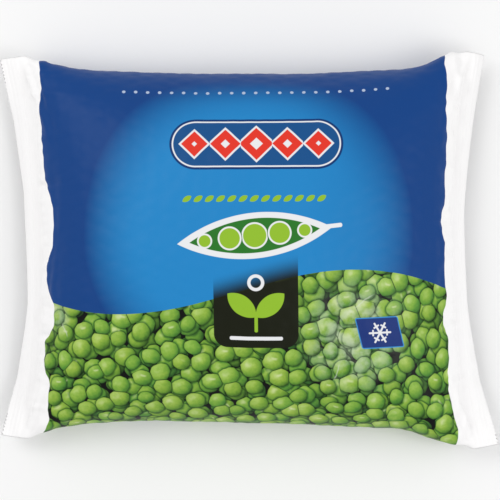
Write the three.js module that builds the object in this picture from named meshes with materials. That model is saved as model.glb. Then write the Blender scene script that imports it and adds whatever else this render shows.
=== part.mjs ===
// A shut pillow bag of frozen vegetables, lying on its back with the printed side up.
//
// The bag is one tube of film, welded flat at both ends and filled. Its form is worked out the way the
// real one gets it: a flat tube of the true length and width is filled to its volume while the film
// refuses to stretch, so the middle swells, the long sides draw in and the corners stand out.
//
// Axes: X along the bag, from one end seal to the other; Y across it; Z up, with 0 where the bag rests.
// Along the film, "along" runs as X does and "across" as Y does, both measured on the flat tube.

import * as THREE from "three";

// Driving sizes of the bag, in millimetres and cubic millimetres.
const CUT_LENGTH = 280; // of the tube, from the outer edge of one seal to the outer edge of the other
const LAY_FLAT = 220; // width of the empty tube
const SEAL_WIDTH = 12; // of the welded band at each end
const SEAL_THICKNESS = 0.8;
const FILLED_VOLUME = 1.95e6; // peas and the air between them
const FIRST_VOLUME = 0.85e6; // when the filling starts

// The outer edge of each end seal as it lies: a place across the film, then X there. The film that rises
// over the filling draws the middle of each end in, and each edge breaks into three nearly straight runs.
const LEFT_EDGE = [[110, -139.2], [75, -131.8], [34, -126], [-31, -123], [-74, -129.6], [-110, -138.2]];
const RIGHT_EDGE = [[110, 130.2], [75, 124.6], [20, 117.4], [-31, 120.2], [-74, 128.2], [-110, 138]];
const SEAL_HEIGHT = 8; // above the table, of the middle of each end seal
const LEFT_GATHER = 0.975; // share of its width that the slightly crinkled left seal keeps
const LOW_SPAN = 0.7; // share of the seal's half width over which it is held down

// The grid laid over the film.
const CELLS_ALONG = 48;
const CELLS_AROUND = 80;
const SEAL_CELLS = 2;
const CELLS_ACROSS = CELLS_AROUND / 2;

// How the film behaves: each stiffness is the share of an error that one pass takes away.
const STRETCH = 1;
const SQUEEZE_SOFT = 0.04; // while filling, so that the film finds its place without wrinkles
const SQUEEZE_FIRM = 0.3; // once filled
const SEAL_SQUEEZE = 0.3;
const SHEAR_PULL = 0.2;
const SHEAR_PUSH = 0.06;
const FILM_BEND = 0.1;
const SEAL_BEND_ALONG = 0.5;
const SEAL_BEND_ACROSS = 0.4;
const EDGE_HOLD = 0.3;
const HEIGHT_HOLD = 0.05;
const FRICTION = 0.5;

// How it is moved: passes, the share of speed kept by each, and the pressure that answers the volume.
const FILL_PASSES = 600;
const FIRM_PASSES = 500;
const LAST_PASSES = 300;
const FILL_SHARE = 0.8; // of the filling passes, after which the volume is full
const SPEED_KEPT_FILLING = 0.9;
const SPEED_KEPT = 0.96;
const PRESSURE_GAIN = 2e-9;
const PRESSURE_QUICK = 40; // times the gain, for the part that answers at once
const PRESSURE_DEPTH = 0.02; // share of the pressure added for each millimetre below the top
const WEIGHT = 0.001;

const START_HEIGHT = 14;
const START_LIFT = 12;

const ROWS = CELLS_ALONG + 1;
const POINTS = ROWS * CELLS_AROUND;
const STEP_AROUND = (2 * LAY_FLAT) / CELLS_AROUND;

// Places of the film, flat

/** The distance along the film of each row of the grid, from the middle. */
function rowsAlong() {
  const places = [];
  for (let row = 0; row < ROWS; row++) {
    const fromEnd = Math.min(row, CELLS_ALONG - row);
    const side = row === fromEnd ? -1 : 1;
    const sealStep = SEAL_WIDTH / SEAL_CELLS;
    const bodyStep = (CUT_LENGTH - 2 * SEAL_WIDTH) / (CELLS_ALONG - 2 * SEAL_CELLS);
    const inSeal = Math.min(fromEnd, SEAL_CELLS) * sealStep;
    const inBody = Math.max(fromEnd - SEAL_CELLS, 0) * bodyStep;
    places.push(side * (CUT_LENGTH / 2 - inSeal - inBody));
  }
  return places;
}

/** The distance across the film of a column: the first half of them is the front, the rest the back. */
function across(column) {
  const fromFold = column <= CELLS_ACROSS ? column : CELLS_AROUND - column;
  return fromFold * STEP_AROUND - LAY_FLAT / 2;
}

const ALONG = rowsAlong();

function isSeal(row) {
  return row <= SEAL_CELLS || row >= CELLS_ALONG - SEAL_CELLS;
}

/** How far apart neighbours round a row of the film stay. */
function stepAround(row) {
  return row <= SEAL_CELLS ? STEP_AROUND * LEFT_GATHER : STEP_AROUND;
}

/** Where a point's three numbers start in the arrays below. */
function slot(row, column) {
  return 3 * (row * CELLS_AROUND + ((column + CELLS_AROUND) % CELLS_AROUND));
}

/** X of an end's outer edge at a place across the film. */
function edgeAt(edge, place) {
  let k = 0;
  while (k < edge.length - 2 && place < edge[k + 1][0]) k++;
  const [fromPlace, fromX] = edge[k];
  const [toPlace, toX] = edge[k + 1];
  return fromX + ((toX - fromX) * (place - fromPlace)) / (toPlace - fromPlace);
}

// The film in motion

const at = new Float64Array(3 * POINTS);
const before = new Float64Array(3 * POINTS);
const speed = new Float64Array(3 * POINTS);
const outward = new Float64Array(3 * POINTS);

/** Lays the tube flat with a slight swelling, so that front and back part the right way. */
function layFlat() {
  for (let row = 0; row < ROWS; row++) {
    for (let column = 0; column < CELLS_AROUND; column++) {
      const p = slot(row, column);
      const u = ALONG[row] / (CUT_LENGTH / 2 - SEAL_WIDTH);
      const w = across(column) / (LAY_FLAT / 2);
      const lift = Math.abs(u) < 1 ? START_LIFT * Math.sqrt((1 - u * u) * (1 - w * w)) : 0;
      at[p] = ALONG[row];
      at[p + 1] = across(column);
      at[p + 2] = START_HEIGHT + (column <= CELLS_ACROSS ? lift : -lift);
    }
  }
}

/** Fills outward with each point's share of the area around it, as a vector, and gives the volume. */
function measure() {
  let volume = 0;
  outward.fill(0);
  for (let row = 0; row < CELLS_ALONG; row++) {
    for (let column = 0; column < CELLS_AROUND; column++) {
      const a = slot(row, column);
      const b = slot(row + 1, column);
      const c = slot(row + 1, column + 1);
      const d = slot(row, column + 1);
      const px = at[c] - at[a];
      const py = at[c + 1] - at[a + 1];
      const pz = at[c + 2] - at[a + 2];
      const qx = at[d] - at[b];
      const qy = at[d + 1] - at[b + 1];
      const qz = at[d + 2] - at[b + 2];
      const quarter = [(py * qz - pz * qy) / 8, (pz * qx - px * qz) / 8, (px * qy - py * qx) / 8];
      for (let m = 0; m < 3; m++) {
        volume += ((at[a + m] + at[b + m] + at[c + m] + at[d + m]) * quarter[m]) / 3;
        outward[a + m] += quarter[m];
        outward[b + m] += quarter[m];
        outward[c + m] += quarter[m];
        outward[d + m] += quarter[m];
      }
    }
  }
  return volume;
}

/** Moves every point by its kept speed, the pressure on it and its weight. */
function drift(kept, quickPressure, pressure) {
  let top = 0;
  for (let p = 2; p < at.length; p += 3) top = Math.max(top, at[p]);
  before.set(at);
  for (let p = 0; p < at.length; p += 3) {
    const push = quickPressure + PRESSURE_DEPTH * pressure * (top - at[p + 2]);
    for (let m = 0; m < 3; m++) at[p + m] += kept * speed[p + m] + push * outward[p + m];
    at[p + 2] -= WEIGHT;
  }
}

/** Brings two points towards their distance on the flat film: pull when too far, push when too near. */
function tie(a, b, distance, pull, push) {
  const dx = at[b] - at[a];
  const dy = at[b + 1] - at[a + 1];
  const dz = at[b + 2] - at[a + 2];
  const length = Math.sqrt(dx * dx + dy * dy + dz * dz);
  const k = (0.5 * (length > distance ? pull : push) * (length - distance)) / length;
  at[a] += k * dx;
  at[a + 1] += k * dy;
  at[a + 2] += k * dz;
  at[b] -= k * dx;
  at[b + 1] -= k * dy;
  at[b + 2] -= k * dz;
}

/** Keeps the film's own lengths. Every other cell is taken first, so that no two ties share a point. */
function holdLengths(squeeze) {
  for (const first of [0, 1]) {
    for (let row = first; row < CELLS_ALONG; row += 2) {
      const distance = ALONG[row + 1] - ALONG[row];
      for (let column = 0; column < CELLS_AROUND; column++) {
        tie(slot(row, column), slot(row + 1, column), distance, STRETCH, squeeze);
      }
    }
    for (let row = 0; row < ROWS; row++) {
      const push = isSeal(row) ? SEAL_SQUEEZE : squeeze;
      for (let column = first; column < CELLS_AROUND; column += 2) {
        tie(slot(row, column), slot(row, column + 1), stepAround(row), STRETCH, push);
      }
    }
  }
}

/** Keeps the cells square, by both diagonals. */
function holdDiagonals() {
  for (const first of [0, 1]) {
    for (let row = first; row < CELLS_ALONG; row += 2) {
      const step = ALONG[row + 1] - ALONG[row];
      const distance = Math.sqrt(step * step + STEP_AROUND * STEP_AROUND);
      for (const [from, to] of [[0, 1], [1, 0]]) {
        for (let column = 0; column < CELLS_AROUND; column++) {
          const a = slot(row + from, column);
          const b = slot(row + to, column + 1);
          tie(a, b, distance, SHEAR_PULL, SHEAR_PUSH);
        }
      }
    }
  }
}

/** Resists bending, between each point and the next but one; the folds along the sides stay free. */
function holdBends() {
  for (let first = 0; first < 4; first++) holdBendsFrom(first);
}

/** One family of those ties: every fourth row or column from the first. */
function holdBendsFrom(first) {
  for (let row = first; row + 2 <= CELLS_ALONG; row += 4) {
    const nearSeal = row <= SEAL_CELLS || row + 2 >= CELLS_ALONG - SEAL_CELLS;
    const distance = ALONG[row + 2] - ALONG[row];
    const push = nearSeal ? SEAL_BEND_ALONG : FILM_BEND;
    for (let column = 0; column < CELLS_AROUND; column++) {
      tie(slot(row, column), slot(row + 2, column), distance, 0, push);
    }
  }
  for (let row = 0; row < ROWS; row++) {
    const push = isSeal(row) ? SEAL_BEND_ACROSS : FILM_BEND;
    for (let column = first; column < CELLS_AROUND; column += 4) {
      const overFold = (column + 1) % CELLS_ACROSS === 0;
      if (!overFold) tie(slot(row, column), slot(row, column + 2), 2 * stepAround(row), 0, push);
    }
  }
}

/** Welds front to back in the seals, and elsewhere keeps the front above the back. */
function keepFaces() {
  for (let row = 0; row < ROWS; row++) {
    for (let column = 1; column < CELLS_ACROSS; column++) {
      const a = slot(row, column);
      const b = slot(row, CELLS_AROUND - column);
      if (isSeal(row)) {
        for (let m = 0; m < 3; m++) {
          const middle = (at[a + m] + at[b + m]) / 2;
          at[a + m] = middle;
          at[b + m] = middle;
        }
      } else {
        const short = Math.max(0, SEAL_THICKNESS - (at[a + 2] - at[b + 2])) / 2;
        at[a + 2] += short;
        at[b + 2] -= short;
      }
    }
  }
}

/** Leads the outer edge of each end to the place it lies in, step by step while the bag fills. */
function leadEnds(share) {
  for (let column = 0; column < CELLS_AROUND; column++) {
    const place = across(column);
    const low = Math.max(0, 1 - Math.abs(place) / (LAY_FLAT / 2) / LOW_SPAN);
    for (const [row, edge] of [[0, LEFT_EDGE], [CELLS_ALONG, RIGHT_EDGE]]) {
      const p = slot(row, column);
      const x = share * edgeAt(edge, place) + (1 - share) * ALONG[row];
      at[p] += EDGE_HOLD * (x - at[p]);
      at[p + 2] += HEIGHT_HOLD * low * (SEAL_HEIGHT - at[p + 2]);
    }
  }
}

/** Stops the film at the table, where it also drags, and takes each point's speed from its move. */
function meetTable() {
  for (let p = 0; p < at.length; p += 3) {
    if (at[p + 2] < 0) {
      at[p + 2] = 0;
      at[p] = before[p] + FRICTION * (at[p] - before[p]);
      at[p + 1] = before[p + 1] + FRICTION * (at[p + 1] - before[p + 1]);
    }
    for (let m = 0; m < 3; m++) speed[p + m] = at[p + m] - before[p + m];
  }
}

/** Fills the bag. */
function fill() {
  let pressure = 0;
  layFlat();
  for (let pass = 0; pass < FILL_PASSES + FIRM_PASSES + LAST_PASSES; pass++) {
    const filled = Math.min(1, pass / (FILL_SHARE * FILL_PASSES));
    const firm = Math.min(1, Math.max(0, (pass - FILL_PASSES) / FIRM_PASSES));
    const lacking = FIRST_VOLUME + (FILLED_VOLUME - FIRST_VOLUME) * filled - measure();
    pressure = Math.max(0, pressure + PRESSURE_GAIN * lacking);
    const quickPressure = pressure + PRESSURE_QUICK * PRESSURE_GAIN * lacking;
    drift(firm > 0 ? SPEED_KEPT : SPEED_KEPT_FILLING, quickPressure, pressure);
    holdLengths(SQUEEZE_SOFT + (SQUEEZE_FIRM - SQUEEZE_SOFT) * firm);
    holdDiagonals();
    holdBends();
    keepFaces();
    leadEnds(filled);
    meetTable();
  }
}

// The solid

/** Gives the welded film its thickness and puts the origin under the middle of the bag. */
function finishForm() {
  for (let row = 0; row < ROWS; row++) {
    if (!isSeal(row)) continue;
    for (let column = 1; column < CELLS_ACROSS; column++) {
      at[slot(row, column) + 2] += SEAL_THICKNESS / 2;
      at[slot(row, CELLS_AROUND - column) + 2] -= SEAL_THICKNESS / 2;
    }
  }
  for (let m = 0; m < 3; m++) {
    let low = Infinity;
    let high = -Infinity;
    for (let p = m; p < at.length; p += 3) {
      low = Math.min(low, at[p]);
      high = Math.max(high, at[p]);
    }
    const shift = m < 2 ? (low + high) / 2 : low;
    for (let p = m; p < at.length; p += 3) at[p] -= shift;
  }
}

/** The film's cells as triangles, split alike on the front and the back, and a strip that shuts each end. */
function triangles() {
  const list = [];
  const point = (row, column) => slot(row, column) / 3;
  for (let row = 0; row < CELLS_ALONG; row++) {
    for (let column = 0; column < CELLS_AROUND; column++) {
      const a = point(row, column);
      const b = point(row + 1, column);
      const c = point(row + 1, column + 1);
      const d = point(row, column + 1);
      if (column < CELLS_ACROSS) list.push(a, b, c, a, c, d);
      else list.push(a, b, d, b, c, d);
    }
  }
  for (let column = 0; column < CELLS_ACROSS; column++) {
    const strip = (row) => [
      point(row, column),
      point(row, column + 1),
      point(row, CELLS_AROUND - column - 1),
      point(row, CELLS_AROUND - column),
    ];
    const [a, b, c, d] = strip(0);
    const [e, f, g, h] = strip(CELLS_ALONG);
    if (column > 0) list.push(a, c, d, e, h, g);
    if (column < CELLS_ACROSS - 1) list.push(a, b, c, e, g, f);
  }
  return list;
}

fill();
finishForm();

const shape = new THREE.BufferGeometry();
shape.setAttribute("position", new THREE.BufferAttribute(new Float32Array(at), 3));
shape.setIndex(triangles());
shape.computeVertexNormals();

const film = new THREE.MeshStandardMaterial({ color: 0x22478a, roughness: 0.35, metalness: 0 });
const bag = new THREE.Mesh(shape, film);
bag.name = "bag";

const group = new THREE.Group();
group.add(bag);

export default group;
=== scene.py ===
"""A shut pillow bag of frozen vegetables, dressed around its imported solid.

The bag is a tube of printed film, welded at both ends and filled. Its form comes from filling the film
twice: first on the coarse grid that the solid has too, then on a finer one, where the film wrinkles.
The film is worked out in millimetres and turned into metres once, when its mesh is made.
"""

import math

import bpy
import numpy as np
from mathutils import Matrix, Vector


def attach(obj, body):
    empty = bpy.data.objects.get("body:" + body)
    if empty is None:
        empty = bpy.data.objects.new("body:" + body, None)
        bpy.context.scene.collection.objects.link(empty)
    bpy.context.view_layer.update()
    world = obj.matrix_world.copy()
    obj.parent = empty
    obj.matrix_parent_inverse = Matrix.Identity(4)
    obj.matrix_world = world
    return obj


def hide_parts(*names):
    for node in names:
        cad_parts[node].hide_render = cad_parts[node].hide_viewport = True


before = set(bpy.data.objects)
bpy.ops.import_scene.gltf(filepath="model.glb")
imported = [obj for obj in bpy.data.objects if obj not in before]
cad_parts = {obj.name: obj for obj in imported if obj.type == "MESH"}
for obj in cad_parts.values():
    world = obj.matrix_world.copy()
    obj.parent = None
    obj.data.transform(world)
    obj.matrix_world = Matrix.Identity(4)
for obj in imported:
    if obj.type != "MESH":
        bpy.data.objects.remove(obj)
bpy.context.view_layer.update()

# Driving sizes of the bag, in millimetres, as in the solid.
CUT_LENGTH = 280.0
LAY_FLAT = 220.0
SEAL_WIDTH = 12.0
GIRTH = 2 * LAY_FLAT
BODY_END = CUT_LENGTH / 2 - SEAL_WIDTH
SEAL_THICKNESS = 0.8
FILLED_VOLUME = 1.95e6
FIRST_VOLUME = 0.85e6

# The outer edge of each end seal as it lies: a place across the film, then X there.
LEFT_EDGE = [[110, -139.2], [75, -131.8], [34, -126], [-31, -123], [-74, -129.6], [-110, -138.2]]
RIGHT_EDGE = [[110, 130.2], [75, 124.6], [20, 117.4], [-31, 120.2], [-74, 128.2], [-110, 138]]
SEAL_HEIGHT = 8.0
LEFT_GATHER = 0.975
LOW_SPAN = 0.7

# How the film behaves, as in the solid.
STRETCH = 1.0
SQUEEZE_SOFT = 0.04
SQUEEZE_FIRM = 0.3
SEAL_SQUEEZE = 0.3
SHEAR_PULL = 0.2
SHEAR_PUSH = 0.06
FILM_BEND = 0.1
SEAL_BEND_ALONG = 0.5
SEAL_BEND_ACROSS = 0.4
EDGE_HOLD = 0.3
HEIGHT_HOLD = 0.05
FRICTION = 0.5

# How it is moved, as in the solid.
FILL_PASSES = 600
FIRM_PASSES = 500
LAST_PASSES = 300
FILL_SHARE = 0.8
SPEED_KEPT_FILLING = 0.9
SPEED_KEPT = 0.96
PRESSURE_GAIN = 2e-9
PRESSURE_QUICK = 40
PRESSURE_DEPTH = 0.02
WEIGHT = 0.001
START_HEIGHT = 14.0
START_LIFT = 12.0

# The second filling, on a grid twice as fine: the film hardly gives when squeezed, so it wrinkles.
FINE_SQUEEZE = 0.9
FINE_BEND = 0.03
FINE_PASSES = 360
FINE_VOLUME = 2.0e6

# Where the film's long folds are drawn straight: from how far across, over which span, and how far along.
CALM_FROM = 84.0
CALM_SPAN = 16.0
CALM_LENGTH = 122.0
CALM_PASSES = 12

# How far the filled bag's long edges lie out of the film's own outline, from the left end to the right:
# a place along the bag, then how far out. The peas have slid a little towards the right end.
FAR_TRIM = [[-139, 1.0], [-122, 0], [60, 0.2], [92, 1.2], [110, 2.8], [122, -0.8], [139, -2.0]]
NEAR_TRIM = [
    [-139, -3.5], [-104, -5.2], [-60, -4.8], [-27, -2.9], [8, -1.0], [80, 0],
    [105, 3.9], [122, 2.2], [139, 2.0]]

# Cells along the film, cells around it and cells along in each seal.
COARSE_CELLS = (48, 80, 2)
FINE_CELLS = (96, 160, 4)
# The grid that is shown: cells along in each seal, cells along the body and cells around.
SHOWN_SEAL_CELLS = 20
SHOWN_BODY_CELLS = 170
SHOWN_CELLS_AROUND = 440

# Peas inside, pressing on the film: their spacing, how far they stray from it, their sizes, their reach in
# spacings, and the height of the largest.
PEA_PITCH = 8.0
PEA_STRAY = 0.28
PEA_SIZES = (0.55, 1.0)
PEA_REACH = 0.62
PEA_SEED = 11
LUMP_HEIGHT = 0.3

# Broad dents, where the filling lies unevenly. They and the peas' lumps fade towards the seals.
DENT_WAVES = (34.0, 41.0, 52.0, 63.0, 78.0, 95.0)
DENT_DEPTH = 0.5
DENT_SEED = 5
SEAL_CALM = 25.0

# Crumpled film at the ends: its waves, how much longer they run beside the seal than away from it, its
# height, its level between ridge and groove, and its reach.
CRUMPLE_WAVES = (20.0, 25.0, 31.0, 38.0, 48.0, 64.0)
CRUMPLE_STRETCH = 2.2
CRUMPLE_HEIGHT = 4.5
CRUMPLE_LEVEL = 0.3
CRUMPLE_REACH = 34.0

# Creases from the end seals into the body: how many, where in its slot each starts, their slant and sizes,
# the groove beside each ridge in heights and widths of it, and how far in they stand full.
PLEATS = 42
PLEAT_PLACES = (0.1, 0.9)
PLEAT_SLANT = 0.4
PLEAT_WIDTHS = (1.5, 4.5)
PLEAT_LENGTHS = (14.0, 44.0)
PLEAT_HEIGHTS = (0.3, 1.7)
PLEAT_GROOVE = (0.5, 2.0)
PLEAT_RISE = 7.0
PLEAT_SEEDS = ((-1, 21), (1, 22))
# The crease that leans away from each corner: where it starts from the fold, its lean, width, reach and
# height, the dip beside it in heights and widths of it, and how far in and from the fold it stands full.
CORNER_START = 2.0
CORNER_SLOPE = 2.5
CORNER_WIDTH = 6.0
CORNER_REACH = 22.0
CORNER_HEIGHT = 2.0
CORNER_DIP = (1.0, 1.8)
CORNER_RISE = 3.0
CORNER_HOLD = 6.0
# The line where the film turns up out of each seal: how far in it lies, its width and depth.
ROOT_PLACE = 3.0
ROOT_WIDTH = 2.6
ROOT_DEPTH = 0.9
# The deep creases: which end, the place round the bag, width, length and depth.
DEEP_CREASES = (
    (-1, 37.0, 2.0, 30.0, 1.8), (-1, -49.0, 2.0, 26.0, 1.8),
    (1, 14.0, 2.0, 26.0, 1.8), (1, -38.0, 1.8, 20.0, 1.2))

# The seam along the back, which stands out of the film under it.
SEAM_WIDTH = 12.0
SEAM_THICKNESS = 0.3
SEAM_STEP = 1.0

# The end seals: pressed ribs along them and teeth where they were cut.
FILM_SEAL_THICKNESS = 0.3
RIB_PITCH = 2.4
RIB_HEIGHT = 0.16
TOOTH_DEPTH = 0.9

# The print, in millimetres along the film from the middle and across it, up being positive. A box is given
# as its middle, size and corner radius. The edge of a shape is soft by PRINT_SOFT to each side.
PRINT_LENGTH = 229.5
PRINT_MIDDLE = -1.75
PRINT_SOFT = 0.15
# Uneven edges of the print: waves of a size and depth, drawn out along the film, and bulges at one end, round
# a middle, with a reach, a depth and the share of the reach where they are full.
EDGE_WAVES = ((30.0, 2.0), (8.0, 1.5))
EDGE_STRETCH = 0.2
EDGE_BULGES = (
    (-1, 95.0, 14.0, 2.0), (-1, 15.0, 26.0, 5.8), (-1, -37.0, 16.0, 7.2), (-1, -87.0, 26.0, 6.0),
    (1, 88.0, 28.0, 2.5), (1, 13.0, 11.0, 3.0), (1, -38.0, 9.0, 2.2), (1, -70.0, 13.0, 2.0),
    (1, -106.0, 18.0, -2.6))
EDGE_FLAT = 0.35
# The round light field: its middle, radius and soft edge, how flat it is above and below the middle, where
# it ends at the top, and where and how much it dims on the right.
GLOW_MIDDLE = (0.8, 7.0)
GLOW_RADIUS = 89.7
GLOW_SOFT = 35.0
GLOW_FLATNESS = (0.93, 1.1)
GLOW_TOP = (104.0, 78.0)
GLOW_DIM = (25.0, 65.0)
GLOW_DIM_SHARE = 0.16
# The wavy line above the printed peas, and its height on the back.
WAVE_HEIGHT = -23.0
WAVE_DEPTH = 12.3
WAVE_LENGTH = 252.0
WAVE_START = -7.0
WAVE_SOFT = 0.12
BACK_WAVE_HEIGHT = -84.0
# The row of dots.
RULE_MIDDLE = (5.0, 88.0)
RULE_DOTS = 23
RULE_PITCH = 6.5
RULE_DOT = 0.95
# The badge and its diamonds, of which each is a millimetre smaller than the one nearer the middle.
BADGE_MIDDLE = (5.3, 56.6)
BADGE_SIZE = (92.0, 28.0)
DIAMONDS = 5
DIAMOND_PITCH = 16.4
DIAMOND_SIZE = 8.2
DIAMOND_SLOPE = 0.71
# The row of leaves.
GARLAND_MIDDLE = (4.0, 27.0)
GARLAND_LEAVES = 13
GARLAND_PITCH = 5.9
GARLAND_LEAF = (5.6, 2.9)
GARLAND_TURN = 32.0
# The pod: its size, opening, stalk and peas, which get smaller away from the middle.
POD_MIDDLE = (4.0, 7.5)
POD_SIZE = (82.0, 24.0)
POD_OPENING = (69.0, 18.0)
POD_TURN = 6.0
STALK = ((42.0, 0.6), (9.0, 2.2), 1.0)
POD_PEAS = 5
POD_PEA_PITCH = 13.2
POD_PEA_RADIUS = 7.0
POD_PEA_FALL = 0.75
POD_PEA_RIM = 0.9
# The dark tab, and how far above the wavy line it starts and is full.
TAB = ((4.3, -22.6), (44.5, 60.0), 7.2)
TAB_FADE = (12.5, -1.5)
# The sprout on the tab: its leaves' middle, how far each lies from that, their size and turn, and its stem.
# Above it a ring, with half its line's width, and below it a bar.
LEAVES_MIDDLE = (4.3, -29.5)
LEAVES_APART = 7.4
LEAF_SIZE = (19.5, 10.0)
LEAF_TURN = 40.0
STEM = ((4.3, -38.5), (1.8, 11.0), 0.8)
RING = ((4.3, -17.4), 3.6)
RING_HALF_WIDTH = 0.85
BAR = ((4.3, -47.4), (28.0, 2.0), 0.9)
# The small tag, seen from its own middle, and the arms and bars of its star.
TAG_MIDDLE = (70.1, -44.4)
TAG = ((0, 0), (23.6, 16.8), 1.2)
TAG_EDGE = 0.55
TAG_TURN = 2.0
TAG_LEAN = 0.2
STAR_TURNS = (0, 60, 120)
STAR_ARM = ((0, 0), (12.4, 1.0), 0.45)
STAR_BAR = ((3.844, 0), (0.9, 3.41), 0.3)

# Printed peas: the layers' spacing, shift and turn, from the top one down, and how dark each lies.
PEA_LAYERS = (
    (11.7, (303.0, 101.0), 17.0), (11.9, (137.0, 411.0), -31.0),
    (11.6, (731.0, 59.0), 48.0), (11.0, (377.0, 843.0), 5.0))
PEA_DEPTHS = (1.0, 0.92, 0.8, 0.62)
PRINT_PEA_RADIUS = 5.55
PRINT_PEA_STRAY = 0.52
# A pea's least size and roundness, and what its own draw adds to each.
PEA_GROWTH = (0.84, 0.26)
PEA_ROUNDNESS = (0.78, 0.24)
# Dents and mottles in a pea: their size in spacings, and how far dents push its outline.
PEA_DENT_SIZE = 0.42
PEA_MOTTLE_SIZE = 0.14
PEA_DENTS = 0.42
# The way to the light and to the shine, and what dents, mottles and the pea's size add to the light.
PRINT_LIGHT = (-0.46, 0.50, 0.73)
PRINT_SHINE = (-0.34, 0.32, 0.88)
LIGHT_SHARES = (0.3, 0.22, 0.12)
# How yellow a pea is: shares of its own draw, of its dents and of light between two values.
YELLOW_SHARES = (0.6, 0.5, 0.3)
YELLOW_LIGHT = (0.45, 0.95)
# Where a pea shines: on the spot itself, by the pea's size and by its dents; and how much.
SHINE_SPOT = (0.88, 1.0)
SHINE_SIZE = (0.3, 1.0)
SHINE_DENTS = (-0.2, 0.25)
SHINE_SHARE = 0.7
# The bent streak on a few peas: its place and bend, its soft width and length, which peas, and how much.
STREAK_PLACE = 0.25
STREAK_BEND = 0.4
STREAK_WIDTH = (0.2, 0.02)
STREAK_LENGTH = (0.4, 0.1)
STREAK_PEAS = (0.86, 0.9)
STREAK_SHARE = 0.5
# Soft steps at a pea's edge and at the gap to the next one; shades have the least light as a third value.
RIM_SHADE = (1.0, 0.88, 0.7)
GAP_SHADE = (0.0, 0.6, 0.5)
PEA_COVER = (1.0, 0.96)
GAP_COVER = (0.04, 0.2)
# How a pea shades the layers below it.
SHADE_BELOW = (0.95, 1.3, 0.44)

# Painted glare, a pale sheen where the film over the peas reflects the light: each patch's middle, its reach
# and how strong it is; then how it fades outward, its grain, and the steps by which it shows in patches and
# more on light print.
GLARE_PATCHES = (((56.0, -46.0), (36.0, 40.0), 0.5), ((-106.0, -38.0), (10.0, 13.0), 0.4))
GLARE_EDGE = (1.0, 0.15)
GLARE_GRAIN = 7.0
GLARE_STEPS = (0.35, 0.62)
GLARE_ON_PRINT = (0.0, 0.3, 0.2)
# Painted highlights along fine creases in the film over the peas: middle, length and angle in degrees.
CREASES = (((61.5, -27.5), 15.0, 33.0), ((47.0, -66.0), 12.0, 70.0), ((-101.0, -45.0), 10.0, -60.0))
CREASE_WIDTH = 0.3
CREASE_SOFT = 0.4
CREASE_GLINT_SHARE = 0.4
CREASE_SWAY = 2.5
SWAY_SIZE = 6.0

# The film's finish: its least roughness, what unevenness adds and the size of that, its gloss, and the size,
# strength and height of its finest creasing.
ROUGHNESS = (0.36, 0.16)
ROUGHNESS_SIZE = 14.0
GLOSS = 0.15
FINE_CREASE_SIZE = 5.0
FINE_CREASE_STRENGTH = 0.3
FINE_CREASE_HEIGHT = 0.25

# Colours as they look on a screen, 0 to 255, in the light of this studio.
DARK_BLUE = (34, 71, 133)
LIGHT_BLUE = (45, 133, 196)
WHITE_FILM = (249, 248, 248)
WHITE_INK = (230, 231, 233)
PALE_INK = (176, 190, 214)
NAVY = (38, 84, 138)
DEEP_NAVY = (32, 60, 112)
RED = (224, 62, 50)
LIME = (145, 187, 56)
POD_GREEN = (52, 118, 50)
TAB_DARK = (37, 39, 31)
TAG_BLUE = (38, 58, 120)
TAG_RIM = (62, 140, 205)
# The pale colour of the painted glare and of the painted highlights along creases.
GLARE_WHITE = (214, 222, 206)
PEA_GAP = (22, 31, 19)
PEA_SHADE = (28, 50, 25)
PEA_SHINE = (218, 226, 178)
# A pea's colours from shade to light, for the greenest peas and for the yellowest.
PEA_STOPS = (
    (0.1, (24, 42, 26)), (0.36, (55, 96, 48)), (0.62, (88, 142, 60)),
    (0.84, (117, 167, 68)), (1.0, (144, 186, 84)))
PEA_YELLOW_STOPS = (
    (0.1, (30, 46, 24)), (0.36, (78, 108, 45)), (0.62, (121, 156, 57)),
    (0.84, (150, 180, 74)), (1.0, (174, 200, 102)))
# What lies on what in the badge and in its diamonds: how far in each colour starts.
BADGE_RINGS = ((0, DEEP_NAVY), (1.2, WHITE_INK), (2.0, NAVY))
DIAMOND_RINGS = ((-1.6, WHITE_INK), (-0.6, RED), (3.4, WHITE_INK))

# What the gloss adds to a colour on the flat of the bag, and the darkest ink.
GLOSS_SEEN = 0.012
DARKEST_INK = 0.0008

MM = 0.001
TINY = 0.01
ORIGIN = (0, 0)
# Far enough, in millimetres, to keep a shape off a side of the bag.
FAR_OFF = 1000.0
FILM_MAP = "film"
BAKE_MAP = "OFBake"
BAKE_SCALE = (1 / (CUT_LENGTH * MM), 1 / (GIRTH * MM))
BAKE_SHIFT = (0.5, 0.25)


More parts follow.
